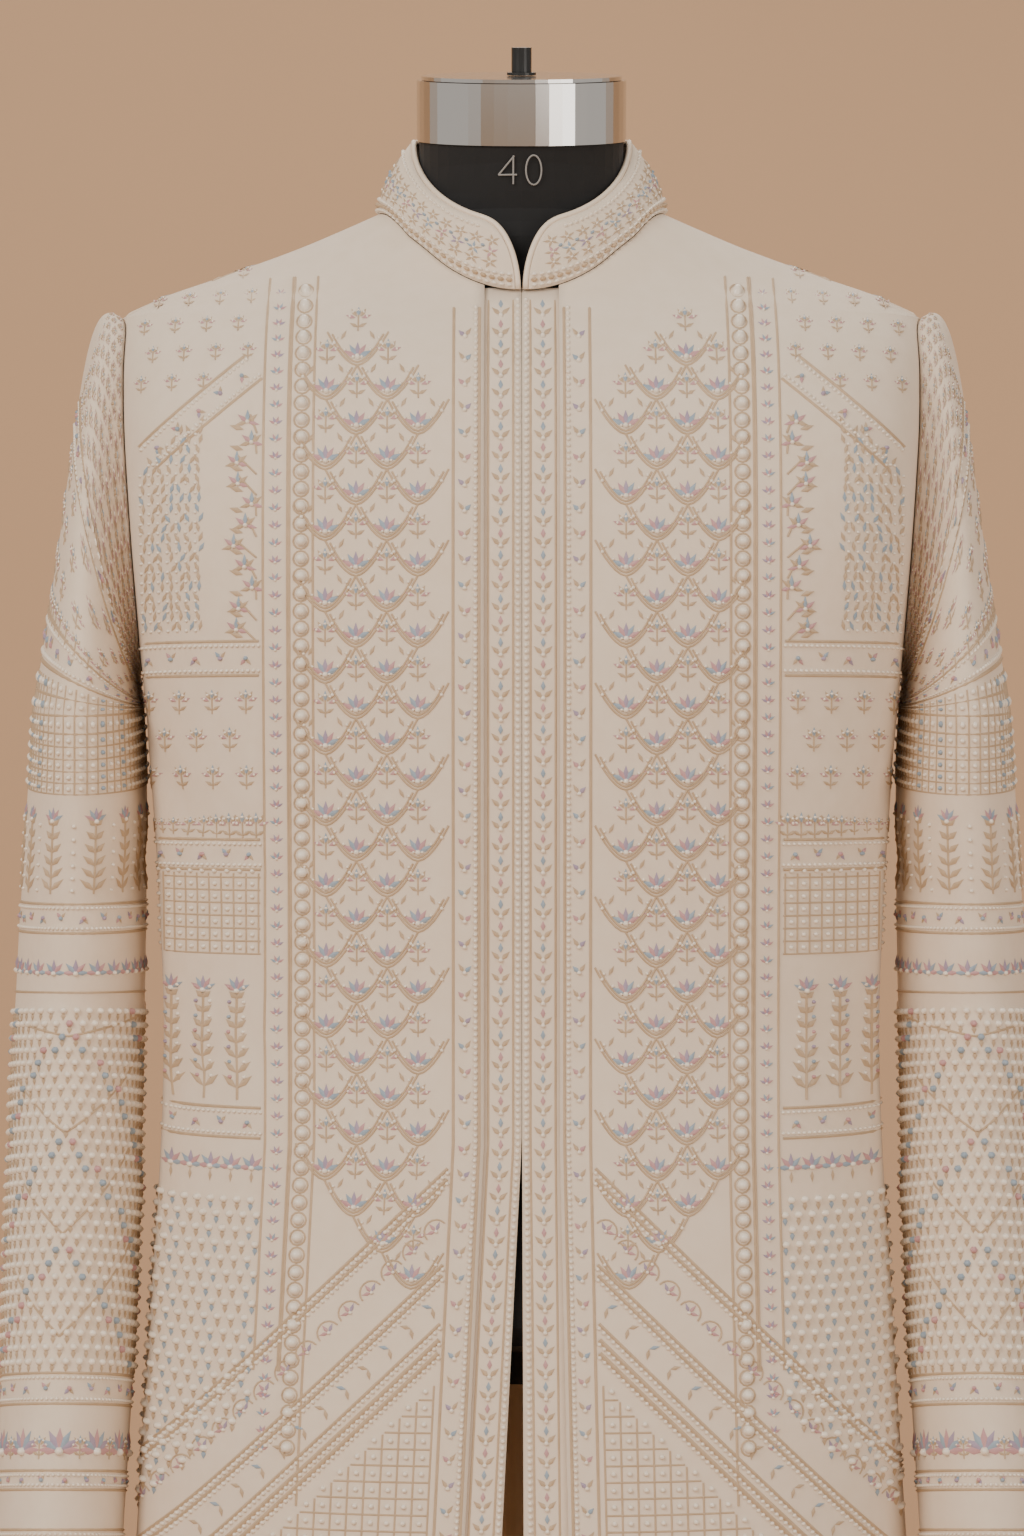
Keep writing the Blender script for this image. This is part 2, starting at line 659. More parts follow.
@dataclass
class FrontEmbroidery:
    """The front's layout in flat metres: x from the centre front and z up."""

    lattice_top: float = 1.425
    lattice_low: float = 0.985
    slope: float = 1.0
    diagonal_cords: tuple = (
        (0.0, 0.0018),
        (0.004, 0.0018),
        (0.036, 0.0018),
        (0.040, 0.0018),
        (0.058, 0.0018),
        (0.064, 0.0026),
        (0.069, 0.0026),
    )
    stitches: Stitches = field(default_factory=Stitches)

    def fold_border(self) -> None:
        """The pearl row and flower vine beside the fold."""
        s = self.stitches
        for x in (0.0225, 0.0362):
            s.line((x, HEM_Z + 0.01), (x, 1.435), 0.0016)
        s.bead_row((0.0245, HEM_Z + 0.01), (0.0245, 1.435), 0.0012, 0.0033)
        for i, z in enumerate(np.arange(HEM_Z + 0.02, 1.43, 0.0135)):
            lean = 1 if i % 2 else -1
            turn = 0.8 * lean + (0 if lean > 0 else math.pi)
            s.petal(0.0302, z, turn, 0.005, 0.0026, BLOOM[i % 3])
            s.petal(0.0302, z, math.pi / 2 + 0.6 * lean, 0.006, 0.0022)
            s.bead(0.0302, z, 0.0013, 1)

    def lattice(self) -> None:
        """Scalloped cups with a lotus in each and a sprig over it."""
        s = self.stitches
        pitch, drop = 0.0325, 0.0375
        row = 0
        z = self.lattice_top - 0.012
        while z > self.lattice_low - 0.12:
            for col in range(3):
                x = 0.0385 + pitch * (col + (0.5 if row % 2 else 0.0)) + pitch / 2
                under = z < self.lattice_low - 0.03 - (0.105 - x) * 0.9
                if x > 0.106 or under or z > 1.40 + (x - 0.04) * 0.3:
                    continue
                t = np.linspace(-1, 1, 13)
                for grow in (1.0, 0.84):
                    rise = drop * 0.5 * np.abs(t) ** 1.7 * grow - drop * 0.28 * grow
                    bow = np.stack([x + t * pitch * 0.5 * grow, z + rise], -1)
                    s.rope(bow, 0.0012)
                for q in bow[1:-1:2]:
                    s.bead(q[0], q[1] + 0.0022, 0.0009)
                s.flower(x, z - 0.006, 0.0085)
                s.sprig(x, z + drop * 0.42, 0.0135)
                for k in (-1, 1):
                    s.petal(x + k * 0.009, z + 0.004, math.pi / 2 + k * 0.5, 0.006, 0.002)
                    s.bead(x + k * 0.0125, z + 0.002, 0.0011)
            z -= drop / 2
            row += 1

    def flower_columns(self) -> None:
        """The column of ringed pearls and the column of small flowers."""
        s = self.stitches
        for x in (0.110, 0.1225, 0.1235, 0.1365):
            s.line((x, 0.80 if x < 0.12 else 0.87), (x, 1.455), 0.0014)
        ring = np.linspace(0, math.tau, 13)
        circle = 0.0041 * np.stack([np.cos(ring), np.sin(ring)], -1)
        for i, z in enumerate(np.arange(0.83, 1.452, 0.0092)):
            s.bead(0.1163, z, 0.0030)
            s.rope(circle + (0.1163, z), 0.0010)
            s.flower(0.130, z - 0.002, 0.0042, petals=4, colours=((2, 4) if i % 2 else (3, 2)))

    def yoke(self) -> None:
        """Scattered sprigs on the yoke over a slanting border."""
        s = self.stitches
        for z in np.arange(1.395, 1.47, 0.0165):
            for x in np.arange(0.146, 0.212, 0.0175):
                if z < 1.478 - (x - 0.12) * 0.36 and z > 1.402 - (x - 0.14) * 0.75:
                    s.sprig(x + 0.006 * (round(z / 0.0165) % 2), z, 0.0095)
        s.border((0.143, 1.402), (0.200, 1.355), 0.016)

    def armhole_strip(self) -> None:
        """Dense leaves beside the armhole."""
        s = self.stitches
        rng = np.random.default_rng(7)
        for z in np.arange(1.262, 1.375, 0.0052):
            for x in np.arange(0.171, 0.206, 0.0052):
                if z < 1.40 - (x - 0.14) * 0.8:
                    s.petal(x, z, rng.uniform(0.9, 2.3), 0.0058, 0.0022, rng.choice([0, 0, 0, 3]))
                    s.bead(x + 0.002, z, 0.0009)

    def climbing_flowers(self) -> None:
        """Raised flowers that climb beside the column."""
        s = self.stitches
        for z in np.arange(1.262, 1.375, 0.011):
            s.line((0.140, z - 0.006), (0.146 + 0.006 * math.sin(z * 160), z + 0.004), 0.0012, 0.003)
            s.flower(0.147 + 0.005 * math.sin(z * 160), z, 0.0068, petals=5, spread=3.6, colours=(0, 2, 3))
            s.petal(0.147, z - 0.004, 0.3, 0.008, 0.003)

    def chest_sprigs(self) -> None:
        """A border, scattered sprigs and a row of flowers."""
        s = self.stitches
        s.border((0.139, 1.247), (0.208, 1.247), 0.018)
        for j, z in enumerate((1.224, 1.204, 1.184)):
            for x in np.arange(0.146 + 0.009 * (j % 2), 0.203, 0.0185):
                s.sprig(x, z, 0.0125)
        for x in np.arange(0.141, 0.205, 0.0075):
            s.sprig(x, 1.158, 0.011 + 0.003 * math.sin(x * 900))
        s.border((0.139, 1.143), (0.202, 1.143), 0.016)

    def square_jaali(self) -> None:
        """A border's square net with a pearl in each square."""
        s = self.stitches
        for x in np.arange(0.140, 0.199, 0.0068):
            s.line((x, 1.090), (x, 1.133), 0.0010)
        for z in np.arange(1.090, 1.134, 0.0068):
            s.line((0.139, z), (0.199, z), 0.0010)
            for x in np.arange(0.1434, 0.198, 0.0068):
                s.bead(x, z + 0.0034, 0.0013)

    def flowering_plants(self) -> None:
        """Three plants over a border and a row of flowers."""
        s = self.stitches
        for x in (0.152, 0.171, 0.190):
            s.line((x, 1.012), (x, 1.068), 0.0015)
            for k, z in enumerate(np.arange(1.018, 1.072, 0.008)):
                size = 0.011 - 0.0009 * k
                s.petal(x, z, 0.7, size, 0.0034, 0)
                s.petal(x, z, math.pi - 0.7, size, 0.0034, 0)
                s.bead(x + 0.004, z + 0.006, 0.0011, 2 + k % 3)
                s.bead(x - 0.004, z + 0.006, 0.0011, 1)
            s.flower(x, 1.070, 0.008, petals=5)
        s.border((0.139, 1.000), (0.197, 1.000), 0.016)
        for x in np.arange(0.143, 0.197, 0.0115):
            s.flower(x, 0.976, 0.008, spread=3.0, petals=5)
            s.petal(x, 0.974, -math.pi / 2, 0.006, 0.002)

    def scales(self) -> None:
        """The beaded scale field."""
        s = self.stitches
        for z in np.arange(HEM_Z + 0.012, 0.962, 0.0078):
            start = 0.139 + 0.0037 * (round(z / 0.0078) % 2)
            for i, x in enumerate(np.arange(start, 0.205, 0.0074)):
                if z > 0.962 - (x - 0.045) * self.slope - 0.02 or z < 0.53:
                    s.bead(x, z, 0.0021, 1)
                    s.petal(x, z - 0.001, -math.pi / 2, 0.0048, 0.0028, 0 if i % 3 else 3)

    def diagonal_bands(self) -> None:
        """Cords, pearls and half medallions that slant to the side."""
        s = self.stitches
        for off, w in self.diagonal_cords:
            high = 0.978 - off * 1.4
            low = high - 0.166 * self.slope
            s.line((0.0385, high), (0.205, low), w)
            s.bead_row((0.0385, high - 0.0025), (0.205, low - 0.0025), 0.0012, 0.0034)
        for i in range(15):
            x = 0.043 + i * 0.0108
            z = 0.978 - 0.0285 - (x - 0.0385) * self.slope
            t = np.linspace(0, math.pi, 9)
            s.rope(np.stack([x + 0.0062 * np.cos(t - 0.785), z + 0.0062 * np.sin(t - 0.785)], -1), 0.0010)
            s.flower(x, z, 0.0055, turn=0.785, petals=3, colours=(2, 2, 4))
            z2 = z - 0.040
            s.petal(x, z2, 0.2, 0.006, 0.0022, (3, 0)[i % 2])
            s.petal(x, z2, -1.8, 0.006, 0.0022, 0)

    def lower_jaali(self) -> None:
        """The square net under the slanting bands."""
        s = self.stitches
        for z in np.arange(HEM_Z + 0.03, 0.87, 0.0086):
            edge = 0.0405 + max(0.864 - z, 0)
            right = min(edge, 0.132)
            if right > 0.046:
                s.line((0.040, z), (right, z), 0.0011, 0.008)
                for x in np.arange(0.0443, right - 0.002, 0.0086):
                    s.bead(x, z + 0.0043, 0.0015)
        for x in np.arange(0.040, 0.132, 0.0086):
            s.line((x, HEM_Z + 0.03), (x, 0.864 - (x - 0.0405)), 0.0011, 0.01)

    def hem_border(self) -> None:
        """The border along the hem."""
        s = self.stitches
        s.border((0.040, HEM_Z + 0.014), (0.215, HEM_Z + 0.014), 0.02)

    def draw(self) -> Stitches:
        """Draws every part and returns the stitches."""
        self.fold_border()
        self.lattice()
        self.flower_columns()
        self.yoke()
        self.armhole_strip()
        self.climbing_flowers()
        self.chest_sprigs()
        self.square_jaali()
        self.flowering_plants()
        self.scales()
        self.diagonal_bands()
        self.lower_jaali()
        self.hem_border()
        return self.stitches


@dataclass
class PlacketEmbroidery:
    """The centre strip: a pearl row at the edge and a leaf vine with alternating flowers."""

    middle: float = 0.0112
    stitches: Stitches = field(default_factory=Stitches)

    def draw(self) -> Stitches:
        """Draws the strip and returns its stitches."""
        s = self.stitches
        s.bead_row((0.0022, HEM_Z + 0.01), (0.0022, 1.441), 0.0014, 0.0036)
        s.line((0.0046, HEM_Z + 0.01), (0.0046, 1.441), 0.0012)
        s.line((0.0178, HEM_Z + 0.01), (0.0178, 1.441), 0.0012)
        for i, z in enumerate(np.arange(HEM_Z + 0.015, 1.438, 0.0115)):
            s.petal(self.middle, z, 0.75, 0.0068, 0.0026)
            s.petal(self.middle, z, math.pi - 0.75, 0.0068, 0.0026)
            s.petal(self.middle, z + 0.004, math.pi / 2, 0.0052, 0.0026, (Hue.PINK, Hue.BLUE)[i % 2])
            s.bead(self.middle, z, 0.0014)
        return s


@dataclass(frozen=True)
class Swing:
    """How far a front's fold, its strip's edge and the strip's trim have swung out at the hem."""

    fold: float
    centre: float
    trim: float


SWINGS = {Side.LEFT: Swing(0.027, 0.028, 0.028), Side.RIGHT: Swing(0.012, 0.002, 0.006)}


@dataclass
class Front:
    """An outer front with its embroidery, and the placket strip under its fold."""

    side: Side
    columns: int = 40
    strip_columns: int = 8
    strip_steps: int = 90
    strip_top: float = 1.4478
    tuck: float = 0.008
    strip_depth: float = 0.0026
    flat: Point = (0.30, 1.06)
    area: float = 0.27
    strip_flat: Point = (0.03, 1.01)

    def fold_angle(self, z: float) -> float:
        """The folded edge's angle at a height."""
        x = np.array(FOLD_X + SWINGS[self.side].fold * parting(z))
        return float(angle_at_x(x, np.array(z)))

    def rows(self) -> list:
        """Rows from the folded edge to the side seam, armhole and shoulder seam."""
        rows = [((self.fold_angle(z), z), (side_angle(z, -1), z)) for z in row_heights()]
        for turn in np.linspace(0, np.pi, 34):
            a, z = floats(armhole(np.array(turn), -1))
            rows.append(((self.fold_angle(z), z), (min(a, side_angle(z, -1)), z)))
        for plan in np.linspace(math.asin(FOLD_X / NECK["half"]), np.pi / 2, 24):
            a, z = floats(neckline(np.array(plan)))
            rows.append(((a, z), (side_angle(z, -1), z)))
        return rows

    def strip_rows(self) -> list:
        """Rows of the strip from the centre front to its edge under the fold."""
        swing, rows = SWINGS[self.side], []
        for z in np.linspace(HEM_Z, self.strip_top, self.strip_steps):
            x0 = np.array(SEAM / 2 + swing.centre * parting(z))
            x1 = np.array(FOLD_X + swing.fold * parting(z) + self.tuck)
            rows.append(((float(angle_at_x(x0, np.array(z))), z), (float(angle_at_x(x1, np.array(z))), z)))
        return rows

    def placer(self, below: float, swing: float) -> Placer:
        """Places flat (x from the centre, z) on this side of the chest.

        Args:
            below: Depth under the torso's surface.
            swing: How far the pattern has swung out at the hem.

        Returns:
            A function from flat places to points and normals.
        """

        def place(u: Array, v: Array) -> tuple[Array, Array]:
            """Points and normals at flat places.

            Args:
                u: First parameter or flat place.
                v: Second parameter or flat place.
            """
            a = angle_at_x(u + swing * parting(v), v) * self.side.value
            n = torso_normals(a, v)
            return torso(a, v) - n * below, n

        return place

    def build(self) -> None:
        """Makes the front and the strip, each with its embroidery."""
        word, swing = self.side.word, SWINGS[self.side]
        place = self.placer(0, swing.fold)
        art = settle(FrontEmbroidery().draw().grow(f"front_{word}_embroidery", place, THREADS), "cloth")
        panel = TorsoPanel(f"front_{word}", self.rows(), self.columns, self.side.value).build()
        strip = TorsoPanel(
            f"placket_{word}", self.strip_rows(), self.strip_columns, self.side.value, self.strip_depth
        ).build()
        place = self.placer(self.strip_depth, swing.trim)
        trim = settle(PlacketEmbroidery().draw().grow(f"placket_{word}_embroidery", place, THREADS), "cloth")


@dataclass
class Back:
    """The back, cut in one from side seam to side seam."""

    columns: int = 90
    flat: Point = (0.60, 1.06)
    area: float = 0.55

    def rows(self) -> list:
        """Rows from one side seam round to the other."""
        edge = [(side_angle(z, 1), z) for z in row_heights()]
        for turn in np.linspace(0, np.pi, 34):
            a, z = floats(armhole(np.array(turn), 1))
            edge.append((max(a, side_angle(z, 1)), z))
        edge += [(side_angle(z, 1), z) for z in np.linspace(SHOULDER_Z, NECK_SIDE_Z, 16)[1:]]
        return [((a, z), (2 * np.pi - a, z)) for a, z in edge]

    def build(self) -> None:
        """Makes the back."""
        back = TorsoPanel("back", self.rows(), self.columns).build()


# ---- sleeves ------------------------------------------------------------------------------------


def sleeve_surface(turn: Array, v: Array) -> Array:
    """The right sleeve at a turn (0 inner, -pi/2 front, pi outer) and a height; over SLEEVE_TOP_Z is its head.

    Args:
        turn: Turns round the armhole or the sleeve.
        v: Second parameter or flat place.

    Returns:
        Points in metres.
    """
    level = np.minimum(v, SLEEVE_TOP_Z)
    inner, outer, middle, deep = (smooth(SLEEVE, k, level) * MM for k in (1, 2, 3, 4))
    ahead = -np.sin(turn) * deep
    slope = (smooth(SLEEVE, 3, level + 0.008) - smooth(SLEEVE, 3, level - 0.008)) * MM / 0.016
    x = (inner + outer) / 2 - (outer - inner) / 2 * np.cos(turn)
    tube = np.stack([x, middle - ahead, level + slope * ahead], -1)
    crease = 0 * turn
    for at, height, wide, tall, slant, depth in SLEEVE_CREASES:
        away = (turn - at + np.pi) % math.tau - np.pi
        crease = crease + depth * np.exp(-((away / wide) ** 2) - ((v - height - slant * away) / tall) ** 2)
    tube = tube + crease[..., None] * np.stack([-np.cos(turn), np.sin(turn), 0 * turn], -1)
    share = np.clip((v - 1.222) / 0.214, 0, 1)
    half_turn = np.arccos(np.clip(np.cos(turn), -1, 1))
    way = np.where(np.sin(turn) <= 0, -1.0, 1.0)
    z = (UNDERARM_Z + SHOULDER_Z) / 2 - (SHOULDER_Z - UNDERARM_Z) / 2 * np.cos(half_turn)
    reach = np.where(way < 0, ARMHOLE_FRONT, ARMHOLE_BACK)
    y = way * reach * np.maximum(np.sin(half_turn), 0) ** ARMHOLE_FULLNESS
    ahead_power = np.where(way < 0, smooth(TORSO, 4, z), smooth(TORSO, 5, z))
    depth = np.where(way < 0, smooth(TORSO, 2, z), smooth(TORSO, 3, z)) * MM
    seam_x = smooth(TORSO, 1, z) * MM * (1 - np.abs(y / depth) ** ahead_power) ** (1 / ahead_power)
    seam = np.stack([seam_x + 0.0004, y, z], -1)
    high, front = (1 - np.cos(half_turn)) / 2, np.sin(half_turn) * way
    leave = np.stack([0.006 + 0.018 * high, 0.006 * front, 0.024 * high**2 - 0.002], -1)
    arrive = np.stack([-0.026 * high**2, -0.004 * front, 0.010 + 0.140 * high], -1)
    t = share[..., None]
    low = (1 - t) ** 3 * tube + 3 * (1 - t) ** 2 * t * (tube + arrive)
    curve = low + 3 * (1 - t) * t**2 * (seam + leave) + t**3 * seam
    return np.where(t > 0, curve, tube)


@dataclass
class SleeveEmbroidery:
    """The sleeve's bands in flat metres: u round from the middle of the front, v up."""

    wide: float = 0.115
    stitches: Stitches = field(default_factory=Stitches)

    def head_sprigs(self) -> None:
        """Sprigs scattered over the sleeve's head."""
        s = self.stitches
        for z in np.arange(1.335, 1.43, 0.0115):
            for u in np.arange(-0.075, 0.078, 0.0125):
                s.sprig(u + 0.006 * (round(z / 0.0115) % 2), z, 0.0100)

    def borders(self) -> None:
        """The borders between the bands."""
        s = self.stitches
        for z, w in ((1.322, 0.018), (1.243, 0.014), (1.108, 0.016), (0.848, 0.016), (0.800, 0.010), (0.765, 0.018)):
            s.border((-self.wide, z), (self.wide, z), w)

    def upper_sprigs(self) -> None:
        """Scattered sprigs over a row of flowers."""
        s = self.stitches
        for j, z in enumerate((1.302, 1.284, 1.266)):
            for u in np.arange(-self.wide + 0.01 * (j % 2), self.wide, 0.020):
                s.sprig(u, z, 0.0115)
        for u in np.arange(-self.wide, self.wide, 0.0085):
            s.sprig(u, 1.253, 0.010)

    def square_jaali(self) -> None:
        """A square net with pearls and blue stones."""
        s = self.stitches
        for z in np.arange(1.180, 1.233, 0.0068):
            s.line((-self.wide, z), (self.wide, z), 0.0010)
            for u in np.arange(-self.wide, self.wide, 0.0068):
                s.bead(u + 0.0034, z + 0.0034, 0.0014, 1 if round(u * 1000) % 4 else 3)
        for u in np.arange(-self.wide, self.wide, 0.0068):
            s.line((u, 1.180), (u, 1.233), 0.0010)

    def flowering_plants(self) -> None:
        """Plants in a row over a band of flowers."""
        s = self.stitches
        for u in np.arange(-0.09, 0.1, 0.026):
            s.line((u, 1.122), (u, 1.165), 0.0014)
            for k, z in enumerate(np.arange(1.124, 1.166, 0.0075)):
                s.petal(u, z, 0.7, 0.0115 - 0.001 * k, 0.0036)
                s.petal(u, z, math.pi - 0.7, 0.0115 - 0.001 * k, 0.0036)
                s.bead(u + 0.0125, z, 0.0012, 1)
            s.flower(u, 1.164, 0.008)
        for u in np.arange(-self.wide, self.wide, 0.0125):
            s.flower(u, 1.078, 0.008, spread=3.0)

    def scales(self) -> None:
        """The beaded scale field under a cord."""
        s = self.stitches
        s.line((-self.wide, 1.066), (self.wide, 1.066), 0.0015)
        for z in np.arange(0.862, 1.060, 0.0074):
            start = 0.0037 * (round(z / 0.0074) % 2) - self.wide
            for i, u in enumerate(np.arange(start, self.wide, 0.0074)):
                band = (abs(u) + z * 0.9) % 0.055 < 0.009
                hue = Hue.PINK if i % 2 else Hue.BLUE
                s.bead(u, z, 0.0021, hue if band else Hue.PEARL)
                s.petal(u, z - 0.001, -math.pi / 2, 0.0048, 0.0028, 0)

    def chevrons(self) -> None:
        """Chevron cords over the scales."""
        s = self.stitches
        for off in np.arange(0.0, 0.20, 0.055):
            for k in (-1, 1):
                s.line((0, 0.875 + off), (k * 0.1, min(0.875 + off + 0.10, 1.06)), 0.0014)

    def lotus_band(self) -> None:
        """The lotus band over the cuff."""
        s = self.stitches
        for u in np.arange(-self.wide, self.wide, 0.0225):
            s.flower(u, 0.815, 0.0125, petals=7, spread=3.0)
            s.sprig(u + 0.011, 0.817, 0.012)

    def draw(self) -> Stitches:
        """Draws every part and returns the stitches."""
        self.head_sprigs()
        self.borders()
        self.upper_sprigs()
        self.square_jaali()
        self.flowering_plants()
        self.scales()
        self.chevrons()
        self.lotus_band()
        return self.stitches


@dataclass
class Sleeve:
    """One sleeve: a thin tube open at the cuff and the armhole, with its embroidery."""

    side: Side
    around: int = 96
    tube_rows: int = 70
    head_rows: int = 34
    flat: Point = (0.38, 0.70)
    area: float = 0.205
    axis_x: float = 0.245

    @staticmethod
    def turn_at(u: Array, v: Array) -> Array:
        """Turns a length round the section into a turn.

        Args:
            u: Lengths round from the middle of the front, in metres.
            v: Heights in metres.

        Returns:
            The turns.
        """
        level = np.minimum(v, SLEEVE_TOP_Z)
        width = (smooth(SLEEVE, 2, level) - smooth(SLEEVE, 1, level)) * MM / 2
        deep = smooth(SLEEVE, 4, level) * MM
        grid = np.linspace(-2.2, 2.2, 89)
        middle = len(grid) // 2
        speed = np.sqrt((width[:, None] * np.cos(grid)) ** 2 + (deep[:, None] * np.sin(grid)) ** 2)
        arc = np.cumsum(speed, 1) * (grid[1] - grid[0])
        arc -= arc[:, middle : middle + 1]
        return -np.pi / 2 - np.array([np.interp(a, row, grid) for a, row in zip(u, arc)])

    def place(self, u: Array, v: Array) -> tuple[Array, Array]:
        """Points and outward normals at flat places.

        Args:
            u: Lengths round from the middle of the front, in metres.
            v: Heights in metres.

        Returns:
            The points and the normals.
        """
        turn = self.turn_at(u, v)
        p = sleeve_surface(turn, v)
        n = self.normals(turn, v)
        outward = np.sum((n * (p - np.array([self.axis_x, 0, 0])))[..., :2], -1, keepdims=True)
        n = np.where(outward < 0, -n, n)
        flip = np.array([self.side.value, 1, 1])
        return p * flip, n * flip

    @staticmethod
    def normals(turn: Array, v: Array) -> Array:
        """Normals of the sleeve's surface, up to their sign."""
        return normals_of(sleeve_surface, turn, np.clip(v, 0.75, 1.43), 0.01, SURFACE_STEP)

    def build(self) -> None:
        """Makes the tube and the embroidery on it."""
        word = self.side.word
        turns = -np.linspace(0, math.tau, self.around + 1)[:-1]
        tube_v = np.linspace(CUFF_Z, SLEEVE_TOP_Z, self.tube_rows)
        head_v = np.linspace(SLEEVE_TOP_Z, SHOULDER_Z, self.head_rows)[1:]
        a, h = np.meshgrid(turns, np.concatenate([tube_v, head_v]))
        outer = sleeve_surface(a, h)
        normal = -self.normals(a, h)
        sign = np.sign(np.sum(normal * (outer - outer.mean(axis=1, keepdims=True)), -1).mean())
        flip = np.array([self.side.value, 1, 1])
        tube = shell(f"sleeve_{word}_cloth", outer * flip, normal * sign * flip, CLOTH, wrapped=True)
        settle(tube, "cloth", f"sleeve_{word}")
        art = settle(SleeveEmbroidery().draw().grow(f"sleeve_{word}_embroidery", self.place, THREADS), "cloth")


# ---- collar -------------------------------------------------------------------------------------


def collar_surface(angle: Array, rise: Array) -> Array:
    """The collar's outer face: rise 0 on the neckline, 1 at the top.

    Args:
        angle: Angles from the centre front.
        rise: Share of the collar's height.

    Returns:
        Points in metres.
    """
    c, s = np.cos(angle), np.sin(angle)
    depth = np.where(c >= 0, NECK["front"], NECK["back"])
    top_depth, end = np.where(c >= 0, 0.070, 0.057), np.where(c >= 0, 1.481, 1.538)
    front_z = neckline(np.minimum(np.abs(angle), np.pi / 2 - 1e-4))[1]
    base_z = np.where(c > 1e-4, front_z, NECK_SIDE_Z) + 0.0005
    top_z = 1.533 + (end - 1.533) * np.abs(c)
    lean = np.clip(rise, 0, 1) ** 1.8
    x = (NECK["half"] + (0.0612 - NECK["half"]) * lean) * s
    y = -(depth + (top_depth - depth) * lean) * c
    return np.stack([x, y, base_z + (top_z - base_z) * rise], -1)


def collar_height(angle: Array) -> Array:
    """The share of the full height that the round front corners leave.

    Args:
        angle: Angles from the centre front.

    Returns:
        Shares of the height.
    """
    along = (np.abs(NECK["half"] * np.sin(angle)) - 0.0037) / 0.028
    along = np.where(np.abs(angle) < np.pi / 4, np.clip(along, 0, 1), 1)
    return np.sqrt(1 - (1 - along) ** 2.6)


def collar_place(angle: Array, rise: Array) -> tuple[Array, Array]:
    """Points and normals on the collar."""
    n = normals_of(collar_surface, angle, np.clip(rise, 0.02, 0.98), 0.01, 0.01)
    return collar_surface(angle, rise), n


@dataclass
class Collar:
    """The stand collar, its satin piping, its bead rows and its flower band."""

    radius: float = 0.07
    height: float = 0.043
    reach: float = 0.215
    gap: float = 0.0037
    rows: int = 12
    cord_sides: int = 10
    cord_radius: float = 0.0016
    flat: Point = (0.46, 0.04)
    bead_rises: tuple = (0.06, 0.14, 0.22)
    flower_rises: tuple = (0.36, 0.52, 0.70)

    def angles(self) -> Array:
        """Angles from one front corner round the back to the other."""
        start = math.asin(self.gap / NECK["half"])
        corner = start + (0.4 - start) * np.linspace(0, 1, 22) ** 1.8
        half = np.concatenate([corner, np.linspace(0.4, np.pi, 60)[1:]])
        return np.concatenate([-half, half[::-1][1:]])

    def band(self) -> bpy.types.Object:
        """Makes the collar's wall."""
        a, share = np.meshgrid(self.angles(), np.linspace(0, 1, self.rows))
        p, n = collar_place(a, share * collar_height(a))
        return settle(shell("collar_cloth", p, n, COLLAR_CLOTH), "cloth", "collar")

    def piping(self) -> bpy.types.Object:
        """Makes the round satin cord along the top and front edges."""
        angles, sides = self.angles(), self.cord_sides
        edge, across = collar_place(angles, collar_height(angles))
        edge = edge - across * COLLAR_CLOTH / 2
        along = np.gradient(edge, axis=0)
        along /= np.linalg.norm(along, axis=1, keepdims=True)
        out = -np.cross(across, along)
        t = (np.arange(sides) * math.tau / sides)[:, None]
        centre = edge + out * self.cord_radius
        rings = centre[:, None] + self.cord_radius * (out[:, None] * np.cos(t) + across[:, None] * np.sin(t))
        count, faces = len(angles), []
        for i in range(count - 1):
            for k in range(sides):
                a, b = i * sides + k, i * sides + (k + 1) % sides
                faces.append((a, b, b + sides, a + sides))
        faces += [tuple(range(sides - 1, -1, -1)), tuple(range((count - 1) * sides, count * sides))]
        cord = mesh_object("collar_piping_satin", rings.reshape(-1, 3), faces, [SATIN])
        return settle(cord, "satin", "collar_piping")

    def place(self, u: Array, v: Array) -> tuple[Array, Array]:
        """Points and normals where v is a row's rise plus a motif's offset in metres.

        Args:
            u: Lengths round from the centre front, in metres.
            v: The rise of the motif's row, plus the offset from the row in metres.

        Returns:
            The points and the normals.
        """
        rows = np.array([*self.bead_rises, *self.flower_rises, 0.6, 0.88])
        nearest = rows[np.argmin(np.abs(v[:, None] - rows), axis=1)]
        return collar_place(u / self.radius, nearest + (v - nearest) / self.height)

    def embroidery(self) -> bpy.types.Object:
        """Makes the bead rows, the flower band and the top row of pearls."""
        s = Stitches()
        for side in (-1, 1):
            for k, rise in enumerate(self.bead_rises):
                rope_row = k == 1
                for x in np.arange(0.006, self.reach, 0.0042 if rope_row else 0.0036):
                    s.bead(side * x, rise, 0.0017 if rope_row else 0.0014, Hue.CORD if rope_row else Hue.PEARL)
            for i, x in enumerate(np.arange(0.016, self.reach, 0.0092)):
                top = float(collar_height(np.array(x / self.radius))) - 0.12
                for r, c in zip(self.flower_rises, (Hue.CORD, BLOOM[i % 3], Hue.CORD)):
                    if r < top:
                        s.flower(side * x, r, 0.0046, turn=0.6 + i, spread=5.0, colours=(c, Hue.CORD, c))
                s.bead(side * (x + 0.0046), 0.6, 0.0012, Hue.BLUE)
            for x in np.arange(0.026, self.reach, 0.0034):
                s.bead(side * x, 0.88, 0.0012)
        return settle(s.grow("collar_embroidery", self.place, THREADS), "cloth")

    def build(self) -> None:
        """Makes the collar and everything on it."""
        band, piping, art = self.band(), self.piping(), self.embroidery()


# ---- dress form and stand -----------------------------------------------------------------------


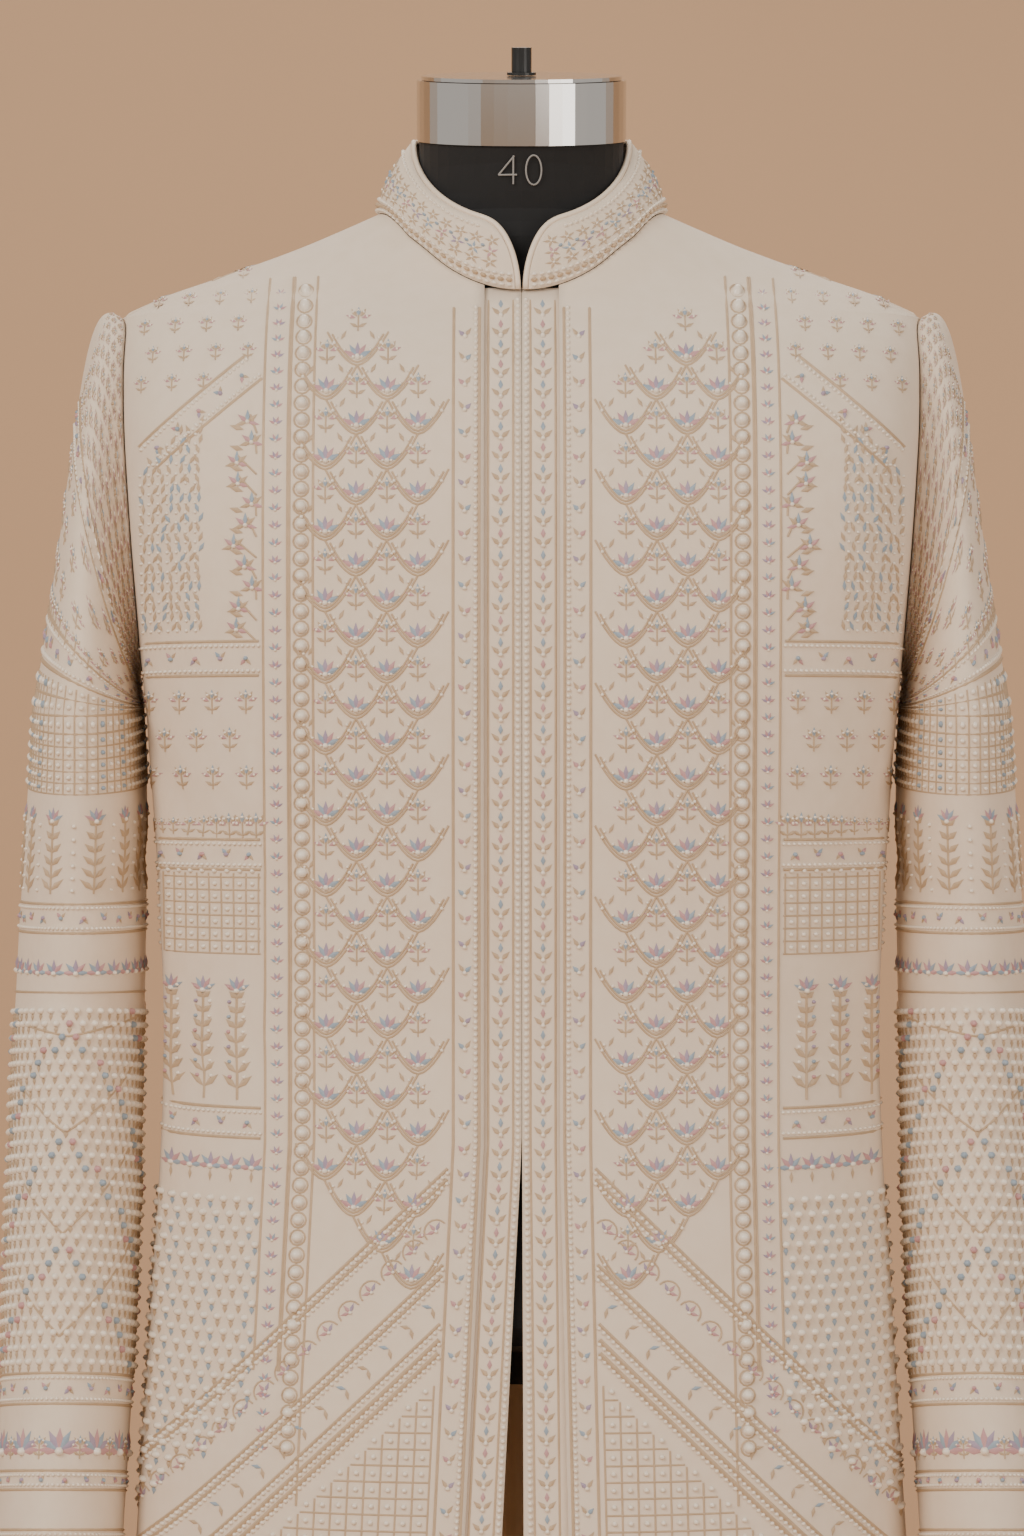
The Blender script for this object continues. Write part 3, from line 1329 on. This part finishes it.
@dataclass(frozen=True)
class FormPart:
    """A part of the form or stand: its CAD node, finish, slot and edge rounding."""

    node: str
    finish: Finish
    slot: str
    bevel: float

    def build(self) -> None:
        """Makes the finished piece on the CAD node's own form, with its edges rounded."""
        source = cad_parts[self.node]
        obj = source.copy()
        obj.data = source.data.copy()
        obj.name = f"{self.node}_finish"
        bpy.context.collection.objects.link(obj)
        for key in list(obj.keys()):
            del obj[key]
        obj.parent = None
        obj.hide_render = obj.hide_viewport = False
        obj.data.materials.clear()
        obj.data.materials.append(self.finish.material())
        bpy.ops.object.select_all(action="DESELECT")
        bpy.context.view_layer.objects.active = obj
        obj.select_set(True)
        if self.bevel:
            mod = obj.modifiers.new("round_edges", "BEVEL")
            mod.width, mod.segments = self.bevel, 3
            mod.limit_method, mod.angle_limit = "ANGLE", math.radians(40)
            bpy.ops.object.modifier_apply(modifier=mod.name)
        bpy.ops.object.shade_smooth_by_angle(angle=SMOOTH_ANGLE)
        settle(obj, self.slot, self.node)


@dataclass
class DressForm:
    """The black form, its chrome neck band and cap, the size number and the pole stand."""

    parts: tuple = (
        FormPart("form_torso", BLACK_CLOTH, "form", 0.0),
        FormPart("neck_band", CHROME, "chrome", 0.0012),
        FormPart("neck_cap", CHROME, "chrome", 0.0006),
        FormPart("cap_knob", BLACK_METAL, "black_metal", 0.0006),
        FormPart("form_socket", BLACK_METAL, "black_metal", 0.001),
        FormPart("stand_pole", CHROME, "chrome", 0.001),
        FormPart("stand_hub", BLACK_METAL, "black_metal", 0.001),
        FormPart("stand_base", BLACK_METAL, "black_metal", 0.003),
    )
    number_z: float = 1.5115
    neck_reach: float = 0.0572
    stroke: float = 0.0009

    def place_number(self, u: Array, v: Array) -> tuple[Array, Array]:
        """Points and normals on the front of the tilted neck.

        Args:
            u: First parameter or flat place.
            v: Second parameter or flat place.

        Returns:
            Points and normals.
        """
        z = self.number_z + v
        centre = -0.0038 - (z - 1.50) * math.tan(math.radians(10))
        p = np.stack([u, centre - np.sqrt(self.neck_reach**2 - u**2), z], -1)
        n = np.stack([u / self.neck_reach, -np.sqrt(1 - (u / self.neck_reach) ** 2), 0 * u], -1)
        return p, n

    def size_number(self) -> None:
        """Draws the plain size number on the neck with thin strokes."""
        strokes = (
            ((-0.004, 0.007), (-0.0125, -0.003), (-0.0025, -0.003)),
            ((-0.0045, 0.007), (-0.0045, -0.008)),
        )
        s = Stitches()
        for stroke in strokes:
            for a, b in zip(stroke[:-1], stroke[1:]):
                s.line(a, b, self.stroke, 0.002)
        t = np.linspace(0, math.tau, 25)
        s.rope(np.stack([0.0065 + 0.0042 * np.cos(t), -0.0005 + 0.0078 * np.sin(t)], -1), self.stroke)
        settle(s.grow("size_number", self.place_number, [WHITE_INK]), "form")

    def build(self) -> None:
        """Makes every part of the form and stand."""
        for part in self.parts:
            part.build()
        self.size_number()


# ---- studio -------------------------------------------------------------------------------------


@dataclass(frozen=True)
class Softbox:
    """A square area light aimed at the chest."""

    name: str
    place: tuple[float, float, float]
    size: float
    power: float
    colour: tuple[float, float, float] = (1.0, 0.95, 0.89)
    target: tuple[float, float, float] = (0, 0, 1.15)

    def build(self) -> None:
        """Adds the light."""
        light = bpy.data.lights.new(self.name, "AREA")
        light.size, light.energy, light.color = self.size, self.power, self.colour
        lamp = bpy.data.objects.new(self.name, light)
        lamp.location = self.place
        aim = np.array(self.target) - np.array(self.place)
        tilt = math.acos(-aim[2] / np.linalg.norm(aim))
        lamp.rotation_euler = (tilt, 0, math.atan2(aim[1], aim[0]) - math.pi / 2)
        bpy.context.collection.objects.link(lamp)


@dataclass
class Studio:
    """Floor, backdrop, soft light and the camera at chest height."""

    lights: tuple = (
        Softbox("key", (-1.9, -2.6, 2.9), 2.0, 96),
        Softbox("fill", (2.3, -2.6, 1.9), 2.4, 46),
        Softbox("back", (0.2, 1.6, 3.4), 2.0, 42),
    )
    ground: Finish = Finish("pale_warm_ground", (0.62, 0.41, 0.25), (0.64, 0.425, 0.26), 0.9, 0, 20, 0.0)
    eye: tuple[float, float, float] = (-0.0052, -2.801, 1.189)
    lens: float = 119.2

    def build(self) -> None:
        """Adds the floor, the backdrop, the lights, the room light and the camera."""
        bpy.ops.mesh.primitive_plane_add(size=14, location=(0, 0, 0))
        floor = bpy.context.object
        bpy.ops.mesh.primitive_plane_add(size=14, location=(0, 3.0, 4.0), rotation=(math.pi / 2, 0, 0))
        wall = bpy.context.object
        for obj in (floor, wall):
            obj.data.materials.append(self.ground.material())
        for light in self.lights:
            light.build()
        world = bpy.data.worlds.new("soft_room")
        world.use_nodes = True
        world.node_tree.nodes["Background"].inputs["Color"].default_value = (1.0, 0.93, 0.86, 1)
        world.node_tree.nodes["Background"].inputs["Strength"].default_value = 0.52
        bpy.context.scene.world = world
        camera = bpy.data.cameras.new("front_camera")
        camera.lens = self.lens
        eye = bpy.data.objects.new("front_camera", camera)
        eye.location = self.eye
        eye.rotation_euler = (math.pi / 2, 0, 0)
        bpy.context.collection.objects.link(eye)
        bpy.context.scene.camera = eye


def main() -> None:
    """Builds the coat, the form and the studio, and notes the sizes."""
    logging.basicConfig(level=logging.INFO)
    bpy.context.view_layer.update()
    for side in Side:
        Front(side).build()
        Sleeve(side).build()
        log.info("%s front and sleeve built", side.word)
    Back().build()
    Collar().build()
    DressForm().build()
    log.info("back, collar and dress form built")
    Studio().build()


if __name__ == "__main__":
    main()
